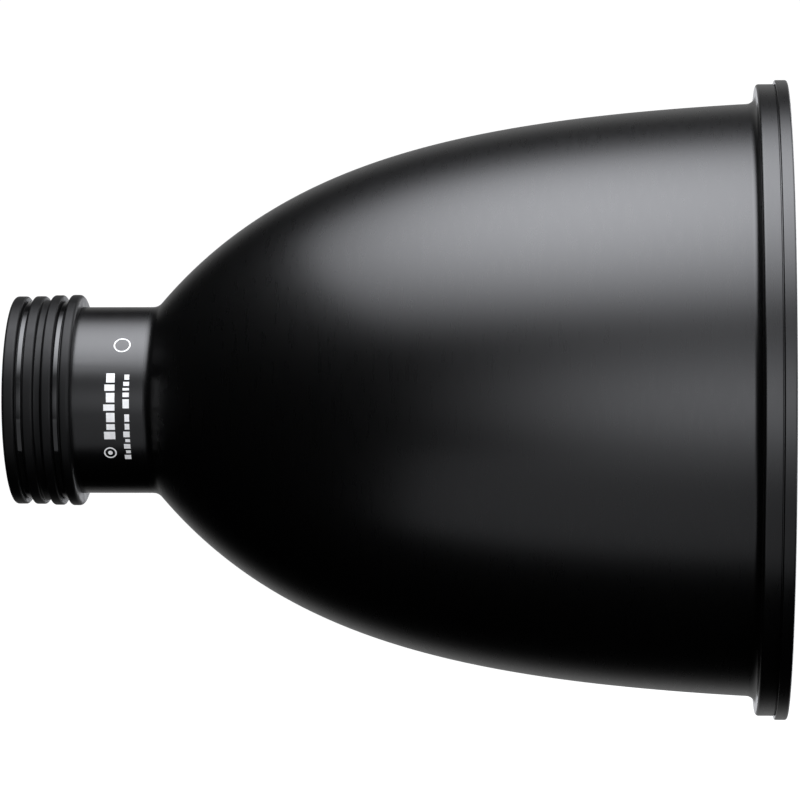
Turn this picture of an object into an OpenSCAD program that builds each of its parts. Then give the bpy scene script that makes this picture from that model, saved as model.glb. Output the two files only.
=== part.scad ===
// Deep zoom reflector for a studio flash head: spun bowl, neck tube, ribbed rubber collar
// and an over-centre draw latch that pulls two steel straps tight around the collar.
// Row frame: +X along the optical axis towards the open rim, +Z up, origin at the centre of
// the collar's rear mouth. Millimetres. The latch stands on the +Y side.

/* [Node] */
// Which node is drawn

/* [Bowl] */
// Radius the spun wall would reach if it went on for ever
bowl_reach = 168.3; // [160:0.1:169]
// Position on the axis where the wall's curve would start from nothing
bowl_start = 46.06; // [44:0.01:47]
// Length over which the wall's curve flattens
bowl_decay = 98.68; // [95:0.01:102]
// How sharply the wall turns at its start
bowl_power = 0.9295; // [0.9:0.0005:0.95]
// Thickness of the spun sheet
sheet = 1.2; // [1:0.1:1.5]
// Position of the rim's rear flange face
flange_x = 407.6; // [406:0.1:409]
// Radius of the turn from the wall into the flange
flange_fillet = 5; // [3:0.5:6]
// Outside radius of the rim band
band_r = 172.8; // [172:0.1:173.5]
// Outside radius of the folded hem at the front edge
hem_r = 175; // [174.5:0.1:176]
// Position where the folded hem starts
hem_x = 417.9; // [416:0.1:419]
// Position of the front edge
front_x = 424.6; // [424:0.1:426]

/* [Neck] */
// Outside radius of the neck tube
neck_r = 51.5; // [51.4:0.05:51.5]
// Radius of the bore that the flash head slides into
head_r = 50.15; // [50.05:0.05:50.3]
// Number of slots that let the tube's rear end close on the head
slot_count = 8; // [4:1:12]
// Width of each slot
slot_w = 1.6; // [1:0.1:3]
// Position where the slots end
slot_end = 31; // [24:1:34]

/* [Collar] */
// Outside radius of the rear rib
rib_r1 = 57.4; // [57:0.1:58]
// Outside radius of the second rib
rib_r2 = 57.5; // [57:0.1:58]
// Outside radius of the third rib
rib_r3 = 58; // [57.5:0.1:58.4]
// Outside radius of the front rib
rib_r4 = 58.2; // [57.5:0.1:58.4]
// Radius of the two strap grooves' floors
groove_r = 53.6; // [53.4:0.05:53.7]
// Radius of the shallow middle groove's floor
middle_r = 55.3; // [55:0.1:56]
// Length of the lip that grips the head behind the tube
lip_len = 8; // [6:0.5:10]
// Front end of the collar
collar_len = 37.1; // [37:0.1:38]

/* [Straps] */
// Width of each strap
strap_w = 3.4; // [3:0.1:3.8]
// Thickness of each strap
strap_t = 1.15; // [1:0.05:1.2]
// Centre of the rear strap
strap_rear_x = 9.3; // [9:0.1:9.4]
// Centre of the front strap
strap_front_x = 29.6; // [29.4:0.1:29.8]

/* [Latch] */
// Thickness of the base and keeper plates
plate_t = 1.4; // [1.2:0.1:1.5]
// Radius of the lever pin
pin_r = 1.5; // [1.2:0.1:1.6]
// Radius of the bail's wire
wire_r = 1; // [0.8:0.1:1]
// Throw of the lever, from its pin to the bail's ends
throw = 5; // [4.5:0.1:5]
// How far the bail's pull passes inside the lever pin when shut
over_centre = 1.2; // [1:0.1:1.5]
// Running clearance on every pin
fit = 0.05; // [0.03:0.01:0.08]
// Opening angle of the lever, for a look at the latch opened
lever_angle = 0; // [0:1:110]

/* [Hidden] */
$fn = 96;
wall_steps = 44;
wall_end = flange_x - flange_fillet;
hairline = 0.08;
hub_r = neck_r + hairline;
seat_r = band_r - sheet;
strap_in = groove_r + 0.05;
strap_out = strap_in + strap_t;
plate_in = strap_out + 0.05;
plate_out = plate_in + plate_t;
latch_x = (strap_rear_x + strap_front_x) / 2;
latch_w = strap_front_x - strap_rear_x + strap_w + 0.4;
pin_angle = -8;
pin_at = 60.5;
hook_angle = 16;
hook_at = 58.46;
hook_c = 59.6;
hook_in = 1.4;
hook_out = 2.8;
lug_out = 6.0;
lug_in = 4.8;
lug_r = 3.1;
side_in = 6.5;
side_out = 7.7;
web_in = 64.0;
web_out = 65.2;
leg_x = 9.7;
bail_share = -0.88;
rivet_r = 1.1;
rivet_head = 1.9;
base_rivets_at = [-20, -33];
keeper_rivets_at = [24, 31.5];
base_ends = [-39, -3.5];
keeper_ends = [9.5, 35];
strap_ends = [20.5, 343.5];
window = [-41, 36];

// Points P (lever pin) and H (bail bar in the hook), as [y, z].
P = pin_at * [cos(pin_angle), sin(pin_angle)];
H = hook_at * [cos(hook_angle), sin(hook_angle)];
pull = (H - P) / norm(H - P);
inward = [-pull[1], pull[0]];
// Q is where the bail's ends sit in the lever.
Q = P - pull * sqrt(throw * throw - over_centre * over_centre) + inward * over_centre;
bail_len = norm(H - Q);
bail_dir = atan2(H[1] - Q[1], H[0] - Q[0]);

// The spun wall: outside radius and slope at x, and the point t inside the surface.
function wall_s(x) = (x - bowl_start) / bowl_decay;
function wall_r(x) = bowl_reach * (1 - exp(-pow(wall_s(x), bowl_power)));
function wall_slope(x) = atan((bowl_reach - wall_r(x)) * bowl_power
                              * pow(wall_s(x), bowl_power - 1) / bowl_decay);
function wall_pt(x, t) = [wall_r(x) - t * cos(wall_slope(x)), x + t * sin(wall_slope(x))];
function wall_x(r) = bowl_start + bowl_decay * pow(-ln(1 - r / bowl_reach), 1 / bowl_power);
function arc(c, r, a0, a1, n = 6) =
    [for (i = [0:n]) let (a = a0 + (a1 - a0) * i / n) c + r * [cos(a), sin(a)]];

// Children are drawn with 2D x as radius and 2D y as angle or height; this puts them about X.
module about_axis() {
    rotate([90, 0, 90]) children();
}

module revolve(profile) {
    about_axis() rotate_extrude() polygon(profile);
}

// Slab between two radii and two angles, from x0 to x1.
module sector(r0, r1, a0, a1, x0, x1) {
    about_axis()
        rotate_extrude(angle = a1 - a0, start = a0)
            translate([r0, x0]) square([r1 - r0, x1 - x0]);
}

// Round bar along X at a point [y, z].
module bar(c, r, x0, x1) {
    translate([x0, c[0], c[1]]) rotate([0, 90, 0]) cylinder(r = r, h = x1 - x0);
}

// Round bar pointing out from the axis.
module spoke(x, angle, r, from, to) {
    translate([x, 0, 0]) rotate([angle, 0, 0]) translate([0, from, 0])
        rotate([-90, 0, 0]) cylinder(r = r, h = to - from);
}

module reflector_bowl() {
    x0 = wall_x(hub_r) - 1.5;
    dx = wall_end - x0;
    // The steps are short where the wall turns fast and long where it runs nearly straight.
    xs = [for (i = [0:wall_steps]) x0 + dx * pow(i / wall_steps, 1.6)];
    r_end = wall_r(wall_end);
    outside = concat(
        [for (x = xs) wall_pt(x, 0)],
        arc([r_end + flange_fillet, wall_end], flange_fillet, 180, 90),
        arc([band_r - 2, flange_x + 2], 2, -90, 0),
        [[band_r, hem_x - 0.7], [band_r - 0.4, hem_x - 0.5], [band_r - 0.4, hem_x]],
        arc([hem_r - 0.7, hem_x + 0.7], 0.7, -90, 0),
        arc([hem_r - 1, front_x - 1], 1, 0, 90));
    inside = concat(
        arc([seat_r + 1, front_x - 1], 1, 90, 180),
        arc([band_r - 2, flange_x + 2], 2 - sheet, 0, -90),
        arc([r_end + flange_fillet, wall_end], flange_fillet + sheet, 90, 180),
        [for (i = [wall_steps - 1:-1:0]) wall_pt(xs[i], sheet)]);
    color("#1b1b1d") difference() {
        revolve(concat(outside, inside));
        bar([0, 0], hub_r, x0 - 5, x0 + 12);
    }
}

module neck_tube() {
    // The flared end lies on the bowl's inside face, with a hairline between the two.
    xa = wall_x(neck_r + 0.8);
    flare = [for (i = [0:6]) xa + 4.4 * i / 6];
    profile = concat(
        [[head_r, lip_len], [neck_r, lip_len], [neck_r, wall_pt(xa, sheet + hairline)[1]]],
        [for (i = [1:6]) wall_pt(flare[i], sheet + hairline)],
        [for (i = [6:-1:0]) wall_pt(flare[i], sheet + hairline + 1.2)],
        [[head_r, xa + 1.0]]);
    color("#232427") difference() {
        revolve(profile);
        for (i = [0:slot_count - 1])
            rotate([i * 360 / slot_count + 22.5, 0, 0])
                translate([lip_len - 1, 40, -slot_w / 2])
                    cube([slot_end - lip_len + 1, 20, slot_w]);
    }
}

function rib(x0, x1, r, e) =
    concat(arc([r - e, x0 + e], e, -90, 0, 4), arc([r - e, x1 - e], e, 0, 90, 4));

module collar_rubber() {
    a0 = strap_rear_x - strap_w / 2 - 0.9;
    a1 = strap_rear_x + strap_w / 2 + 0.6;
    b0 = strap_front_x - strap_w / 2 - 0.9;
    b1 = strap_front_x + strap_w / 2 + 0.6;
    profile = concat(
        [[head_r, lip_len - 0.05], [head_r, 0]],
        rib(0, a0, rib_r1, 1.1), [[groove_r, a0], [groove_r, a1]],
        rib(a1, 16.9, rib_r2, 0.8), [[middle_r, 16.9], [middle_r, 21.6]],
        rib(21.6, b0, rib_r3, 0.8), [[groove_r, b0], [groove_r, b1]],
        rib(b1, collar_len, rib_r4, 1.2),
        [[neck_r + hairline, collar_len], [neck_r + hairline, lip_len - 0.05]]);
    color("#2a2a2b") difference() {
        revolve(profile);
        // The two middle ribs stop short of the latch.
        sector(plate_in - 0.02, 70, window[0], window[1], a0 + 1.2, b1 - 1.2);
    }
}

module strap(x) {
    color("#3a3b3e") difference() {
        sector(strap_in, strap_out, strap_ends[0], strap_ends[1], x - strap_w / 2, x + strap_w / 2);
        for (a = concat(base_rivets_at, keeper_rivets_at)) spoke(x, a, rivet_r + fit, 50, 60);
    }
}

module clamp_band_rear() { strap(strap_rear_x); }

module clamp_band_front() { strap(strap_front_x); }

module plate(ends) {
    sector(plate_in, plate_out, ends[0], ends[1], latch_x - latch_w / 2, latch_x + latch_w / 2);
}

module rivet_holes(angles) {
    for (x = [strap_rear_x, strap_front_x]) for (a = angles)
        spoke(x, a, rivet_r + fit, 50, 60);
}

module rivets(angles) {
    color("#8d9094")
        for (x = [strap_rear_x, strap_front_x]) for (a = angles) {
            spoke(x, a, rivet_r, strap_in + 0.05, plate_out + 0.5);
            spoke(x, a, rivet_head, plate_out + 0.03, plate_out + 0.5);
            translate([x, 0, 0]) rotate([a, 0, 0]) translate([0, plate_out + 0.5, 0])
                rotate([-90, 0, 0]) cylinder(r1 = rivet_head, r2 = 1.3, h = 0.3);
        }
}

module latch_base() {
    color("#55585c") difference() {
        union() {
            plate(base_ends);
            for (s = [-1, 1])
                translate([latch_x + s * (lug_in + lug_out) / 2 - (lug_out - lug_in) / 2, 0, 0])
                    about_axis() linear_extrude(lug_out - lug_in) {
                        translate(P) circle(lug_r);
                        rotate(pin_angle) translate([plate_in + 0.5, -lug_r])
                            square([pin_at - plate_in - 0.5, 2 * lug_r]);
                    }
        }
        bar(P, pin_r + fit, latch_x - 20, latch_x + 20);
        rivet_holes(base_rivets_at);
    }
}

module base_rivets() { rivets(base_rivets_at); }

module keeper_plate() {
    color("#55585c") difference() {
        union() {
            plate(keeper_ends);
            // The hook stands up behind the bail's bar and turns over it.
            translate([latch_x - 6, 0, 0]) about_axis() linear_extrude(12)
                rotate(hook_angle) difference() {
                    union() {
                        translate([plate_in + 0.6, 0.1 - hook_out]) square([4.5, hook_out - hook_in]);
                        translate([hook_c, 0.1]) circle(hook_out);
                    }
                    translate([hook_c, 0.1]) circle(hook_in);
                    translate([hook_c - 3, 0.1 - hook_in]) square([3, hook_in + 3]);
                    translate([hook_c - 3, 0.7]) square([6, 3]);
                }
        }
        rivet_holes(keeper_rivets_at);
    }
}

module keeper_rivets() { rivets(keeper_rivets_at); }

module lever_pin() {
    color("#a5a8ab") {
        bar(P, pin_r, latch_x - side_out - 0.5, latch_x + side_out + 0.5);
        for (s = [-1, 1])
            translate([s * (side_out + 0.3), 0, 0]) bar(P, 2.2, latch_x - 0.25, latch_x + 0.25);
    }
}

module pin_washers() {
    color("#c9c7bd")
        for (s = [-1, 1]) translate([s * (lug_out + side_in) / 2, 0, 0]) difference() {
            bar(P, 2.6, latch_x - 0.2, latch_x + 0.2);
            bar(P, pin_r + fit, latch_x - 1, latch_x + 1);
        }
}

module lever_turn(a) {
    translate([0, P[0], P[1]]) rotate([a, 0, 0]) translate([0, -P[0], -P[1]]) children();
}

module clamp_lever() {
    color("#6d7074") lever_turn(lever_angle) difference() {
        union() {
            sector(web_in, web_out, -56, pin_angle, latch_x - side_out, latch_x + side_out);
            for (s = [-1, 1])
                translate([s * (side_in + side_out) / 2, 0, 0]) {
                    sector(61.4, web_in + 0.2, -47, -17, latch_x - 0.6, latch_x + 0.6);
                    sector(58.6, web_in + 0.2, -18, pin_angle, latch_x - 0.6, latch_x + 0.6);
                    bar(P, 3.2, latch_x - 0.6, latch_x + 0.6);
                }
        }
        bar(P, pin_r + fit, latch_x - 20, latch_x + 20);
        bar(Q, wire_r + fit, latch_x - 20, latch_x + 20);
    }
}

module draw_bail() {
    color("#b4b7ba") lever_turn(lever_angle)
        translate([latch_x, Q[0], Q[1]]) rotate([lever_angle * bail_share, 0, 0]) {
            for (s = [-1, 1]) {
                translate([s * (leg_x + side_in + 0.1) / 2, 0, 0]) rotate([0, 90, 0])
                    cylinder(r = wire_r, h = leg_x - side_in - 0.1, center = true);
                translate([s * leg_x, 0, 0]) sphere(wire_r);
                translate([s * leg_x, 0, 0]) rotate([bail_dir, 0, 0]) rotate([-90, 0, 0])
                    cylinder(r = wire_r, h = bail_len);
                translate([s * leg_x, bail_len * cos(bail_dir), bail_len * sin(bail_dir)])
                    sphere(wire_r);
            }
            translate([0, bail_len * cos(bail_dir), bail_len * sin(bail_dir)])
                rotate([0, 90, 0]) cylinder(r = wire_r, h = 2 * leg_x, center = true);
        }
}

reflector_bowl();
neck_tube();
collar_rubber();
clamp_band_rear();
clamp_band_front();
latch_base();
base_rivets();
keeper_plate();
keeper_rivets();
lever_pin();
pin_washers();
clamp_lever();
draw_bail();
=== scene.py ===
import math

import bmesh
import bpy
from mathutils import Matrix, Vector


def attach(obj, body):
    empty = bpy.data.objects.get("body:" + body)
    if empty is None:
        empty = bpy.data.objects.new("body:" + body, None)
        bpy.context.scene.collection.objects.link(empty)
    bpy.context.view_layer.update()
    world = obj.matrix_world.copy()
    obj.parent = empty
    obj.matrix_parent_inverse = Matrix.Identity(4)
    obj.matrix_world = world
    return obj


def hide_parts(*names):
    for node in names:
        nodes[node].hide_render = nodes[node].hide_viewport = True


# Deep zoom reflector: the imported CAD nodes, with the bowl, the collar and the straps drawn finer.
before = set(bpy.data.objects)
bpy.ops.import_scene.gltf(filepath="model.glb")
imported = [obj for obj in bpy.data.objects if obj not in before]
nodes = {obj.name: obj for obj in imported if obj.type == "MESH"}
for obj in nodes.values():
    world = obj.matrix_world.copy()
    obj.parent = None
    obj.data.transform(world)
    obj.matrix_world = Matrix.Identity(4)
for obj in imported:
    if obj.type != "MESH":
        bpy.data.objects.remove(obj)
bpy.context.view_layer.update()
scene = bpy.context.scene
MM = 0.001
WHITE = (1.0, 1.0, 1.0, 1.0)

# ---------------------------------------------------------------- dimensions, in millimetres
# The spun wall: outside radius r(x) = REACH * (1 - exp(-((x - START) / DECAY) ** POWER)).
REACH = 168.3
START = 46.06
DECAY = 98.68
POWER = 0.9295
SHEET = 1.2
# The rim: a flange, a straight band, a narrow groove and a folded hem.
FLANGE_X = 407.6
FLANGE_FILLET = 5.0
BAND_R = 172.8
HEM_R = 175.0
HEM_X = 417.9
HEM_GROOVE = 0.5
HEM_GROOVE_DEPTH = 0.85
FRONT_X = 424.6
# The foot of the bowl, where the coat runs from the neck into the wall.
NECK_R = 51.5
FOOT_LENGTH = 3.4
FOOT_RISE = 2.4
FOOT_DEPTH = 0.25
# The collar: four ribs, a groove for each strap and a shallow groove in the middle.
HEAD_R = 50.15
RIB_R = (57.5, 57.6, 58.1, 58.3)
MIDDLE_X = (16.95, 21.15)
MIDDLE_R = 55.3
GROOVE_R = 53.6
COLLAR_LEN = 37.4
LIP_LEN = 8.0
# The straps, and the window in the ribs where the latch plates lie: angles are degrees from +Y towards +Z.
STRAP_X = (8.8, 28.7)
STRAP_W = 2.7
STRAP_IN = 53.65
STRAP_OUT = 54.8
STRAP_REACH = (20.5, 343.5)
PLATE_IN = 54.85
PLATE_GAP = 0.03
WINDOW = (-41.0, 36.0)
WINDOW_FADE = 1.3
WINDOW_X = (8.0, 30.5)
# How far a drawn piece stands clear of the CAD face that it covers.
SKIN = 0.02
# The printed ink, between these heights over the neck.
INK = (0.01, 0.06)


# ---------------------------------------------------------------- mesh helpers
def outline(corners, steps=5):
    """Closed outline in (x, r) through corners (x, r, fillet): a list of (x, r, normal x, normal r)."""
    count = len(corners)
    area = 0.0
    for i in range(count):
        a = corners[i]
        b = corners[(i + 1) % count]
        area += a[0] * b[1] - b[0] * a[1]
    if area < 0:
        corners = corners[::-1]
    points = []
    for i in range(count):
        p = Vector(corners[i][:2])
        a = Vector(corners[i - 1][:2])
        b = Vector(corners[(i + 1) % count][:2])
        fillet = corners[i][2]
        d0 = (p - a).normalized()
        d1 = (b - p).normalized()
        turn = math.atan2(d0.x * d1.y - d0.y * d1.x, d0.dot(d1))
        if fillet <= 0 or abs(turn) < 1e-4:
            d = (d0 + d1).normalized()
            points.append((p.x, p.y, d.y, -d.x))
            continue
        back = fillet * math.tan(abs(turn) / 2)
        side = math.copysign(1, turn)
        start = p - d0 * back
        centre = start + Vector((-d0.y, d0.x)) * side * fillet
        for k in range(steps + 1):
            angle = turn * k / steps
            c = math.cos(angle)
            s = math.sin(angle)
            d = Vector((d0.x * c - d0.y * s, d0.x * s + d0.y * c))
            q = centre + Vector((d.y, -d.x)) * side * fillet
            points.append((q.x, q.y, d.y, -d.x))
    return points


def add_mesh(name, verts, faces, normals=None, smooth=True):
    """New mesh object from vertices in millimetres, with its own normals where they are given."""
    mesh = bpy.data.meshes.new(name)
    mesh.from_pydata([tuple(c * MM for c in v) for v in verts], [], faces)
    mesh.validate()
    mesh.update()
    obj = bpy.data.objects.new(name, mesh)
    scene.collection.objects.link(obj)
    if smooth:
        mesh.polygons.foreach_set("use_smooth", [True] * len(mesh.polygons))
    if normals is not None:
        mesh.normals_split_custom_set_from_vertices(normals)
    return obj


def revolve(name, points, segments=256, reach=None, place=None):
    """Turns an outline about the X axis. reach = (start, end) in degrees from +Y towards +Z leaves a gap.
    place(x, r, angle) gives a point's radius where the piece isn't round all the way."""
    whole = reach is None
    if whole:
        angles = [2 * math.pi * j / segments for j in range(segments)]
    else:
        a0 = math.radians(reach[0])
        a1 = math.radians(reach[1])
        angles = [a0 + (a1 - a0) * j / segments for j in range(segments + 1)]
    count = len(points)
    verts = []
    normals = []
    for a in angles:
        c = math.cos(a)
        s = math.sin(a)
        for x, r, nx, nr in points:
            radius = r if place is None else place(x, r, a)
            verts.append((x, radius * c, radius * s))
            normals.append((nx, nr * c, nr * s))
    faces = []
    turns = len(angles) if whole else len(angles) - 1
    for j in range(turns):
        k = (j + 1) % len(angles)
        for i in range(count):
            m = (i + 1) % count
            faces.append((j * count + i, k * count + i, k * count + m, j * count + m))
    if not whole:
        last = turns * count
        faces.append(tuple(range(count)))
        faces.append(tuple(last + i for i in reversed(range(count))))
    # The outline runs counter-clockwise in (x, r), so one quad tells which way they all face.
    p = [Vector(verts[i]) for i in faces[0]]
    own = (p[1] - p[0]).cross(p[2] - p[1])
    if own.dot(Vector(normals[faces[0][0]]) + Vector(normals[faces[0][2]])) < 0:
        faces = [tuple(reversed(f)) for f in faces]
    return add_mesh(name, verts, faces, normals if place is None and whole else None)


def even_normals(obj):
    """Flat faces stay flat beside their rounded edges."""
    weighted = obj.modifiers.new("even_normals", "WEIGHTED_NORMAL")
    weighted.weight = 80


# ---------------------------------------------------------------- materials
def new_material(name):
    material = bpy.data.materials.new(name)
    material.use_nodes = True
    tree = material.node_tree
    shader = tree.nodes["Principled BSDF"]
    place = tree.nodes.new("ShaderNodeTexCoord")
    return material, tree, shader, place


def grey(value, tint=(1.0, 1.0, 1.0)):
    return (value * tint[0], value * tint[1], value * tint[2], 1.0)


def map_range(tree, source, low, high, smooth=False):
    """Takes a value from (from, to) in low to high, both pairs as (input, output)."""
    node = tree.nodes.new("ShaderNodeMapRange")
    if smooth:
        node.interpolation_type = "SMOOTHSTEP"
    node.inputs["From Min"].default_value = low[0]
    node.inputs["To Min"].default_value = low[1]
    node.inputs["From Max"].default_value = high[0]
    node.inputs["To Max"].default_value = high[1]
    tree.links.new(source, node.inputs["Value"])
    return node.outputs["Result"]


def ramp(tree, source, stops):
    node = tree.nodes.new("ShaderNodeValToRGB")
    for element, (position, colour) in zip(node.color_ramp.elements, stops):
        element.position = position
        element.color = colour
    tree.links.new(source, node.inputs["Fac"])
    return node.outputs["Color"]


def noise(tree, place, scale, detail=3.0, stretch=None):
    node = tree.nodes.new("ShaderNodeTexNoise")
    node.inputs["Scale"].default_value = scale
    node.inputs["Detail"].default_value = detail
    source = place.outputs["Object"]
    if stretch is not None:
        mapping = tree.nodes.new("ShaderNodeMapping")
        mapping.inputs["Scale"].default_value = stretch
        tree.links.new(source, mapping.inputs["Vector"])
        source = mapping.outputs["Vector"]
    tree.links.new(source, node.inputs["Vector"])
    return node.outputs["Fac"]


def finish(tree, shader, place, tones, rough, grain, depth, spread=40.0, stretch=None):
    """Uneven tone and roughness, and a fine bump of the given grain size and depth, both in metres.
    spread is how many patches of tone there are in a metre, stretch draws them out along an axis."""
    tone = noise(tree, place, spread, 4.0, stretch)
    tree.links.new(ramp(tree, tone, ((0.3, tones[0]), (0.7, tones[1]))), shader.inputs["Base Color"])
    polish = noise(tree, place, spread * 2.3, 3.0, stretch)
    tree.links.new(map_range(tree, polish, (0.3, rough[0]), (0.7, rough[1])), shader.inputs["Roughness"])
    bump = tree.nodes.new("ShaderNodeBump")
    bump.inputs["Strength"].default_value = 1.0
    bump.inputs["Distance"].default_value = depth
    tree.links.new(noise(tree, place, 1.0 / grain, 2.0), bump.inputs["Height"])
    tree.links.new(bump.outputs["Normal"], shader.inputs["Normal"])


def black_coat(name, rough):
    """Satin black stoving enamel, with faint marks round the axis from spinning."""
    material, tree, shader, place = new_material(name)
    tones = (grey(0.0005), grey(0.00065))
    finish(tree, shader, place, tones, rough, grain=0.0006, depth=0.0000012,
           spread=30.0, stretch=(6.0, 1.0, 1.0))
    shader.inputs["Specular IOR Level"].default_value = 0.5
    return material


def white_coat():
    """White enamel inside the bowl."""
    material, tree, shader, place = new_material("white_enamel")
    tones = (grey(0.67, (1.0, 0.997, 0.988)), grey(0.69, (1.0, 0.998, 0.99)))
    finish(tree, shader, place, tones, (0.44, 0.47), grain=0.0006, depth=0.000002, spread=12.0)
    return material


def moulded_rubber():
    """Black rubber with a faint bloom."""
    material, tree, shader, place = new_material("moulded_rubber")
    tones = (grey(0.0008), grey(0.0016))
    finish(tree, shader, place, tones, (0.38, 0.46), grain=0.0005, depth=0.000005, spread=60.0)
    shader.inputs["Specular IOR Level"].default_value = 0.2
    return material


def gloss_steel():
    """Strip steel with a gloss black coat."""
    material, tree, shader, place = new_material("gloss_black_steel")
    tones = (grey(0.003), grey(0.005))
    finish(tree, shader, place, tones, (0.05, 0.08), grain=0.0012, depth=0.0000015, spread=80.0)
    shader.inputs["Specular IOR Level"].default_value = 0.6
    return material


def dark_zinc():
    """Strip steel plated with black zinc."""
    material, tree, shader, place = new_material("black_zinc_steel")
    tones = (grey(0.07), grey(0.1, (1.0, 0.99, 0.96)))
    finish(tree, shader, place, tones, (0.26, 0.36), grain=0.0005, depth=0.0000015,
           spread=120.0, stretch=(1.0, 6.0, 1.0))
    shader.inputs["Metallic"].default_value = 1.0
    return material


def bright_steel():
    """Zinc-plated steel, drawn along its length."""
    material, tree, shader, place = new_material("bright_steel")
    tones = (grey(0.46), grey(0.56, (1.0, 0.99, 0.97)))
    finish(tree, shader, place, tones, (0.24, 0.34), grain=0.0004, depth=0.0000015,
           spread=300.0, stretch=(1.0, 8.0, 1.0))
    shader.inputs["Metallic"].default_value = 1.0
    return material


def natural_nylon():
    material, tree, shader, place = new_material("natural_nylon")
    tones = (grey(0.6, (1.0, 0.97, 0.88)), grey(0.66, (1.0, 0.97, 0.9)))
    finish(tree, shader, place, tones, (0.4, 0.5), grain=0.0003, depth=0.000004, spread=200.0)
    return material


def white_ink_painted_glow():
    """White screen-printed ink, slightly thin in places, with a faint painted glow that keeps it bright
    where little lamp light reaches it.
    """
    material, tree, shader, place = new_material("white_ink_painted_glow")
    tones = (grey(0.56), grey(0.66))
    finish(tree, shader, place, tones, (0.45, 0.55), grain=0.0003, depth=0.000003, spread=500.0)
    # Painted light: the ink gives off a little light of its own, standing in for light on its lower,
    # shaded part.
    shader.inputs["Emission Color"].default_value = WHITE
    shader.inputs["Emission Strength"].default_value = 0.22
    return material


coat = black_coat("black_satin_coat", (0.27, 0.29))
neck_coat = black_coat("neck_coat", (0.25, 0.27))
enamel = white_coat()
rubber = moulded_rubber()
gloss = gloss_steel()
zinc = dark_zinc()
steel = bright_steel()
nylon = natural_nylon()
ink = white_ink_painted_glow()


def paint(obj, *materials):
    obj.data.materials.clear()
    for material in materials:
        obj.data.materials.append(material)
    return obj


# ---------------------------------------------------------------- the bowl
def wall_r(x):
    return REACH * (1 - math.exp(-(((x - START) / DECAY) ** POWER)))


def wall_x(r):
    return START + DECAY * (-math.log(1 - r / REACH)) ** (1 / POWER)


def wall_point(x, depth):
    """Point of the wall that far under its outside, as a corner without a fillet."""
    s = (x - START) / DECAY
    slope = math.atan((REACH - wall_r(x)) * POWER * s ** (POWER - 1) / DECAY)
    return x + depth * math.sin(slope), wall_r(x) - depth * math.cos(slope), 0.0


def foot_curve(start, bend, end, parts=9):
    """Points between start and end on the curve that leaves and meets them in line with bend."""
    for i in range(1, parts):
        t = i / parts
        p = start * (1 - t) ** 2 + bend * 2 * t * (1 - t) + end * t * t
        yield p.x, p.y, 0.0


def build_bowl():
    hub = NECK_R + SKIN
    hub_x = wall_x(hub)
    foot_x = hub_x - FOOT_LENGTH
    first = wall_x(hub + FOOT_RISE)
    wall_end = FLANGE_X - FLANGE_FILLET
    steps = 110
    xs = [first + (wall_end - first) * (i / steps) ** 1.5 for i in range(steps)]
    # The wall still rises this much on its way through the flange's fillet.
    turn_r = wall_r(wall_end) + 0.15
    groove_r = BAND_R - HEM_GROOVE_DEPTH
    seat_r = BAND_R - SHEET

    corners = [(foot_x, hub - FOOT_DEPTH, 0.0), (foot_x, hub, 0.03)]
    # The coat leaves the neck along its surface and meets the wall in line with it.
    start = Vector((foot_x, hub))
    bend = Vector((hub_x - 0.3, hub))
    corners += foot_curve(start, bend, Vector(wall_point(first, 0.0)[:2]))
    corners += [wall_point(x, 0.0) for x in xs]
    corners += [
        (FLANGE_X, turn_r, FLANGE_FILLET),
        (FLANGE_X, BAND_R, 1.8),
        (HEM_X - HEM_GROOVE - 0.1, BAND_R, 0.25),
        (HEM_X - HEM_GROOVE, groove_r, 0.1),
        (HEM_X, groove_r, 0.1),
        (HEM_X, HEM_R, 0.8),
        (FRONT_X, HEM_R, 1.1),
        (FRONT_X, seat_r, 1.0),
        (FLANGE_X + SHEET, seat_r, 0.8),
        (FLANGE_X + SHEET, turn_r - SHEET, FLANGE_FILLET + SHEET),
    ]
    corners += [wall_point(x, SHEET) for x in reversed(xs)]
    corners.append((hub_x + 1.0, hub - FOOT_DEPTH, 0.0))
    bowl = revolve("bowl_shell", outline(corners, steps=6), segments=288)

    # White enamel covers the inside, from the seat inside the rim back to the neck.
    paint(bowl, coat, enamel)
    for face in bowl.data.polygons:
        c = face.center
        x = c.x / MM
        r = math.hypot(c.y, c.z) / MM
        inward = face.normal.y * c.y + face.normal.z * c.z < 0
        shelf = r < seat_r - 0.05 and x > FLANGE_X + 0.4
        if (inward and x > hub_x) or shelf:
            face.material_index = 1
    return bowl


bowl = build_bowl()
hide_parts("reflector_bowl")
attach(bowl, "reflector")


# ---------------------------------------------------------------- the rubber collar
def window_radius(x, r, angle):
    """The two middle ribs stop in a rounded step on each side of the latch."""
    floor_r = PLATE_IN - PLATE_GAP
    if r <= floor_r or not WINDOW_X[0] < x < WINDOW_X[1]:
        return r
    a = (math.degrees(angle) + 180.0) % 360.0 - 180.0
    inside_by = min(a - WINDOW[0], WINDOW[1] - a)
    t = min(max(inside_by / WINDOW_FADE + 1.0, 0.0), 1.0)
    t = t * t * (3 - 2 * t)
    return r + (floor_r - r) * t


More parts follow.
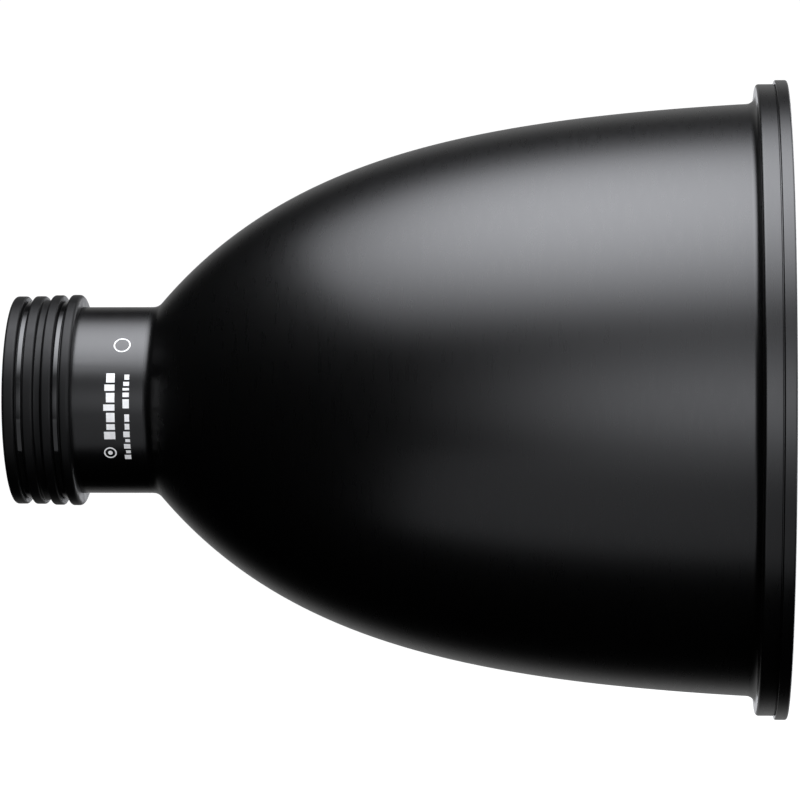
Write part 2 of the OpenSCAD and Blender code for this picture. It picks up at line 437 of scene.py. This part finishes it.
def build_collar():
    bore = NECK_R + SKIN
    half = STRAP_W / 2
    rear = (STRAP_X[0] - half - 0.75, STRAP_X[0] + half + 0.8)
    front = (STRAP_X[1] - half - 0.4, STRAP_X[1] + half + 1.1)
    corners = [
        (LIP_LEN, HEAD_R, 0.1), (0.0, HEAD_R, 0.8),
        (0.0, RIB_R[0], 1.6), (rear[0], RIB_R[0], 1.3),
        (rear[0], GROOVE_R, 0.2), (rear[1], GROOVE_R, 0.2),
        (rear[1], RIB_R[1], 1.1), (MIDDLE_X[0] - 0.15, RIB_R[1], 1.3),
        (MIDDLE_X[0] + 0.15, MIDDLE_R, 0.9), (MIDDLE_X[1] - 0.15, MIDDLE_R, 0.9),
        (MIDDLE_X[1] + 0.15, RIB_R[2], 1.3), (front[0], RIB_R[2], 1.1),
        (front[0], GROOVE_R, 0.2), (front[1], GROOVE_R, 0.2),
        (front[1], RIB_R[3], 1.3), (COLLAR_LEN, RIB_R[3], 2.2),
        (COLLAR_LEN, bore, 0.15), (LIP_LEN, bore, 0.1),
    ]
    collar = revolve("collar_ribs", outline(corners), segments=720, place=window_radius)
    even_normals(collar)
    return paint(collar, rubber)


collar = build_collar()
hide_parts("collar_rubber")
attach(collar, "reflector")


# ---------------------------------------------------------------- the two straps
def build_strap(name, x):
    half = STRAP_W / 2
    corners = [(x - half, STRAP_IN, 0.2), (x + half, STRAP_IN, 0.2),
               (x + half, STRAP_OUT, 0.35), (x - half, STRAP_OUT, 0.35)]
    strap = revolve(name, outline(corners, steps=4), segments=320, reach=STRAP_REACH)
    even_normals(strap)
    return paint(strap, gloss)


for name, node, x in (("strap_rear", "clamp_band_rear", STRAP_X[0]),
                      ("strap_front", "clamp_band_front", STRAP_X[1])):
    strap = build_strap(name, x)
    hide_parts(node)
    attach(strap, "reflector")


# ---------------------------------------------------------------- the neck's printed mark
def on_neck(x, angle, r):
    """Point at that angle, in radians, above the neck's near side."""
    return x, -r * math.cos(angle), r * math.sin(angle)


def patch(verts, faces, x0, x1, a0, a1, columns=2, rows=6):
    """Thin closed plate of ink from x0 to x1 and over the angles a0 to a1, in degrees."""
    base = len(verts)
    for height in INK:
        for i in range(columns + 1):
            for j in range(rows + 1):
                x = x0 + (x1 - x0) * i / columns
                angle = math.radians(a0 + (a1 - a0) * j / rows)
                verts.append(on_neck(x, angle, NECK_R + height))
    layer = (columns + 1) * (rows + 1)

    def at(k, i, j):
        return base + k * layer + i * (rows + 1) + j

    for i in range(columns):
        for j in range(rows):
            faces.append((at(1, i, j), at(1, i + 1, j), at(1, i + 1, j + 1), at(1, i, j + 1)))
            faces.append((at(0, i, j), at(0, i, j + 1), at(0, i + 1, j + 1), at(0, i + 1, j)))
    for i in range(columns):
        n = i + 1
        faces.append((at(0, i, 0), at(0, n, 0), at(1, n, 0), at(1, i, 0)))
        faces.append((at(0, n, rows), at(0, i, rows), at(1, i, rows), at(1, n, rows)))
    for j in range(rows):
        n = j + 1
        faces.append((at(0, 0, n), at(0, 0, j), at(1, 0, j), at(1, 0, n)))
        faces.append((at(0, columns, j), at(0, columns, n), at(1, columns, n), at(1, columns, j)))


def row_of_blocks(verts, faces, x0, x1, start, blocks, gap, unit):
    """Blocks (width, height) one above the other from the angle start. unit is the degrees that a width
    or gap of 1 covers. A height is a share of the row's, from x1 on, and 0 leaves the place empty."""
    angle = start
    for width, height in blocks:
        if height > 0:
            patch(verts, faces, x1 - (x1 - x0) * height, x1, angle, angle + width * unit)
        angle += (width + gap) * unit


def ring(verts, faces, x, angle, radius, width, sides=28):
    """Printed circle on the neck, at x and at that angle above the near side."""
    base = len(verts)
    for height in INK:
        r = NECK_R + height
        for size in (radius - width, radius):
            for j in range(sides):
                t = 2 * math.pi * j / sides
                up = math.radians(angle) + size * math.sin(t) / r
                verts.append(on_neck(x + size * math.cos(t), up, r))
    low_in, low_out, top_in, top_out = (base + sides * m for m in range(4))
    for j in range(sides):
        k = (j + 1) % sides
        faces.append((top_in + j, top_out + j, top_out + k, top_in + k))
        faces.append((low_in + j, low_in + k, low_out + k, low_out + j))
        faces.append((top_out + j, low_out + j, low_out + k, top_out + k))
        faces.append((top_in + j, top_in + k, low_in + k, low_in + j))


def build_print():
    """A bold row of blocks, a fine row beside it, a round badge below and a plain circle above."""
    verts = []
    faces = []
    bold_x = (54.9, 61.0)
    bold = ((4.6, 1.0), (3.4, 0.76), (5.4, 0.76), (3.6, 1.0), (5.4, 0.76), (3.6, 0.9), (5.4, 0.76))
    fine_x = (65.4, 68.9)
    fine = ((2.7, 1.0), (1.7, 0.74), (2.7, 1.0), (1.7, 0.74), (3.1, 1.0), (3.1, 0.74), (3.9, 0.74),
            (0.9, 0.0), (4.7, 1.0), (2.3, 1.0), (1.3, 1.0), (2.1, 0.9), (2.7, 0.74))
    badge = (57.7, -33.8)
    circle = (64.0, 35.4)
    row_of_blocks(verts, faces, *bold_x, start=-24.4, blocks=bold, gap=1.2, unit=1.054)
    row_of_blocks(verts, faces, *fine_x, start=-38.5, blocks=fine, gap=1.1, unit=1.17)
    ring(verts, faces, *badge, radius=3.5, width=0.75)
    ring(verts, faces, *badge, radius=1.3, width=1.28)
    ring(verts, faces, *circle, radius=4.6, width=0.7)
    return add_mesh("neck_print", verts, faces, smooth=False)


mark = paint(build_print(), ink)
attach(mark, "reflector")


# ---------------------------------------------------------------- CAD nodes that are shown
def round_edges(obj, radius):
    edges = obj.modifiers.new("rounded_edges", "BEVEL")
    edges.width = radius * MM
    edges.segments = 2
    edges.limit_method = "ANGLE"
    edges.angle_limit = math.radians(40)
    edges.harden_normals = True


# Each node's material, and the radius of its edges in millimetres.
for name, material, radius in (("neck_tube", neck_coat, None),
                               ("latch_base", zinc, 0.2), ("keeper_plate", zinc, 0.2),
                               ("clamp_lever", gloss, 0.2), ("draw_bail", steel, 0.1),
                               ("base_rivets", steel, 0.15), ("keeper_rivets", steel, 0.15),
                               ("lever_pin", steel, 0.15), ("pin_washers", nylon, 0.1)):
    paint(nodes[name], material)
    if radius is not None:
        round_edges(nodes[name], radius)


# ---------------------------------------------------------------- the floor
def build_floor(z=-0.33, radius=9.0):
    """Pale disc, a little darker under the object. It casts no light and no shadow on the object."""
    mesh = bpy.data.meshes.new("floor")
    disc = bmesh.new()
    bmesh.ops.create_circle(disc, cap_ends=True, segments=96, radius=radius)
    disc.to_mesh(mesh)
    disc.free()
    floor = bpy.data.objects.new("floor", mesh)
    scene.collection.objects.link(floor)
    floor.location = (0.2, 0.0, z)
    material, tree, shader, place = new_material("pale_floor")
    shader.inputs["Base Color"].default_value = grey(0.14)
    shader.inputs["Roughness"].default_value = 0.9
    shader.inputs["Specular IOR Level"].default_value = 0.0
    shader.inputs["Emission Color"].default_value = WHITE
    distance = tree.nodes.new("ShaderNodeVectorMath")
    distance.operation = "LENGTH"
    tree.links.new(place.outputs["Object"], distance.inputs[0])
    pale = map_range(tree, distance.outputs["Value"], (0.1, 0.42), (1.1, 1.02), smooth=True)
    tree.links.new(pale, shader.inputs["Emission Strength"])
    paint(floor, material)
    floor.visible_glossy = False
    floor.visible_diffuse = False
    floor.visible_shadow = False
    return floor


build_floor()


# ---------------------------------------------------------------- the studio
def build_world():
    """White behind the object. The object itself meets only a dim glow from +Y, drawn out towards +X."""
    world = bpy.data.worlds.new("studio")
    scene.world = world
    world.use_nodes = True
    tree = world.node_tree
    glow = tree.nodes["Background"]
    glow.inputs["Color"].default_value = WHITE
    seen = tree.nodes.new("ShaderNodeBackground")
    seen.inputs["Color"].default_value = WHITE
    seen.inputs["Strength"].default_value = 1.05
    direction = tree.nodes.new("ShaderNodeTexCoord")
    axis = tree.nodes.new("ShaderNodeSeparateXYZ")
    tree.links.new(direction.outputs["Generated"], axis.inputs["Vector"])
    right = tree.nodes.new("ShaderNodeMath")
    right.operation = "MAXIMUM"
    right.inputs[1].default_value = 0.0
    tree.links.new(axis.outputs["X"], right.inputs[0])
    lean = tree.nodes.new("ShaderNodeMath")
    lean.operation = "MULTIPLY_ADD"
    lean.inputs[1].default_value = 0.45
    tree.links.new(right.outputs["Value"], lean.inputs[0])
    tree.links.new(axis.outputs["Y"], lean.inputs[2])
    strength = map_range(tree, lean.outputs["Value"], (0.72, 0.0), (0.96, 0.35), smooth=True)
    tree.links.new(strength, glow.inputs["Strength"])
    path = tree.nodes.new("ShaderNodeLightPath")
    mix = tree.nodes.new("ShaderNodeMixShader")
    tree.links.new(path.outputs["Is Camera Ray"], mix.inputs["Fac"])
    tree.links.new(glow.outputs["Background"], mix.inputs[1])
    tree.links.new(seen.outputs["Background"], mix.inputs[2])
    tree.links.new(mix.outputs["Shader"], tree.nodes["World Output"].inputs["Surface"])


def fade(tree, value, reach, low):
    """1 at value 0, falling smoothly to low at value +-reach."""
    size = tree.nodes.new("ShaderNodeMath")
    size.operation = "ABSOLUTE"
    tree.links.new(value, size.inputs[0])
    return map_range(tree, size.outputs["Value"], (0.0, 1.0), (reach, low), smooth=True)


# Colour of the studio's daylight tubes, a little cooler than white.
COOL = (0.932, 0.947, 1.0)
# For a soft light that doesn't fade towards its edges.
EVEN = (9.0, 1.0)


def softbox(name, centre, face, width, height, radiance, across=EVEN, along=EVEN):
    """Soft light facing along face, with its width along X. across and along are the distance from
    its hot centre, in metres, at which it has faded, and the share of its radiance left there."""
    light = bpy.data.lights.new(name, "AREA")
    light.shape = "RECTANGLE"
    light.size = width
    light.size_y = height
    light.energy = radiance * math.pi * width * height / COOL[1]
    light.color = COOL
    light.use_nodes = True
    tree = light.node_tree
    place = tree.nodes.new("ShaderNodeTexCoord")
    split = tree.nodes.new("ShaderNodeSeparateXYZ")
    tree.links.new(place.outputs["Object"], split.inputs["Vector"])
    product = tree.nodes.new("ShaderNodeMath")
    product.operation = "MULTIPLY"
    tree.links.new(fade(tree, split.outputs["X"], *across), product.inputs[0])
    tree.links.new(fade(tree, split.outputs["Y"], *along), product.inputs[1])
    tree.links.new(product.outputs["Value"], tree.nodes["Emission"].inputs["Strength"])
    obj = bpy.data.objects.new(name, light)
    scene.collection.objects.link(obj)
    z = -Vector(face).normalized()
    x = Vector((1.0, 0.0, 0.0))
    x = (x - z * x.dot(z)).normalized()
    obj.matrix_world = Matrix((x, z.cross(x), z)).transposed().to_4x4()
    obj.location = centre
    obj.visible_camera = False


def softbox_around(name, x, distance, elevation, **sizes):
    """Soft light aimed at the axis from that distance. Its elevation counts from the near side."""
    e = math.radians(elevation)
    y = -distance * math.cos(e)
    z = distance * math.sin(e)
    softbox(name, (x, y, z), (0.0, -y, -z), **sizes)


def build_lights():
    # A long overhead box in two parts: bright over the bowl, dimmer beyond the rim.
    softbox_around("overhead", x=0.15, distance=1.3, elevation=71.5,
                   width=2.0, height=3.4, radiance=8.8, across=(1.0, 0.4), along=(1.45, 0.03))
    softbox_around("overhead_right", x=1.65, distance=1.3, elevation=71.5,
                   width=1.0, height=3.4, radiance=3.5, along=(1.45, 0.03))
    # The near side: a hot centre level with the axis, one box beyond the rim and a dim one below.
    softbox("front", centre=(0.33, -1.5, 0.02), face=(0.0, 1.0, 0.0),
            width=1.7, height=1.5, radiance=3.25, across=(0.7, 0.12), along=(0.8, 0.14))
    softbox("front_right", centre=(1.6, -1.15, -0.1), face=(-1.0, 0.85, 0.05),
            width=0.8, height=1.7, radiance=2.0)
    softbox_around("low_front", x=0.0, distance=1.5, elevation=-41.0,
                   width=1.2, height=1.05, radiance=0.55)
    # In front of the open rim.
    softbox("mouth", centre=(2.4, 0.3, 0.0), face=(-1.0, -0.1, 0.0),
            width=1.8, height=2.6, radiance=1.5)
    # The far side: what the edges of the outline and the latch reflect.
    softbox("backdrop", centre=(0.25, 2.4, 0.0), face=(0.0, -1.0, 0.0),
            width=1.3, height=1.0, radiance=2.6, across=(0.65, 0.3), along=(0.5, 0.3))
    softbox("back_right", centre=(2.0, 1.8, 0.2), face=(-1.0, -0.95, -0.1),
            width=1.3, height=3.0, radiance=3.4)
    softbox("back_left", centre=(-1.35, 1.9, 0.0), face=(0.65, -1.0, 0.0),
            width=0.8, height=1.0, radiance=1.6)


def build_camera():
    """Level with the axis, 2.2 m away and turned a little towards the collar."""
    data = bpy.data.cameras.new("camera")
    data.sensor_width = 36.0
    data.lens = 178.0
    data.clip_start = 0.05
    data.clip_end = 50.0
    camera = bpy.data.objects.new("camera", data)
    scene.collection.objects.link(camera)
    camera.location = (0.3445, -2.179, 0.0)
    camera.rotation_euler = (math.pi / 2, 0.0, math.radians(3.46))
    return camera


build_world()
build_lights()
scene.camera = build_camera()
scene.view_settings.view_transform = "Standard"
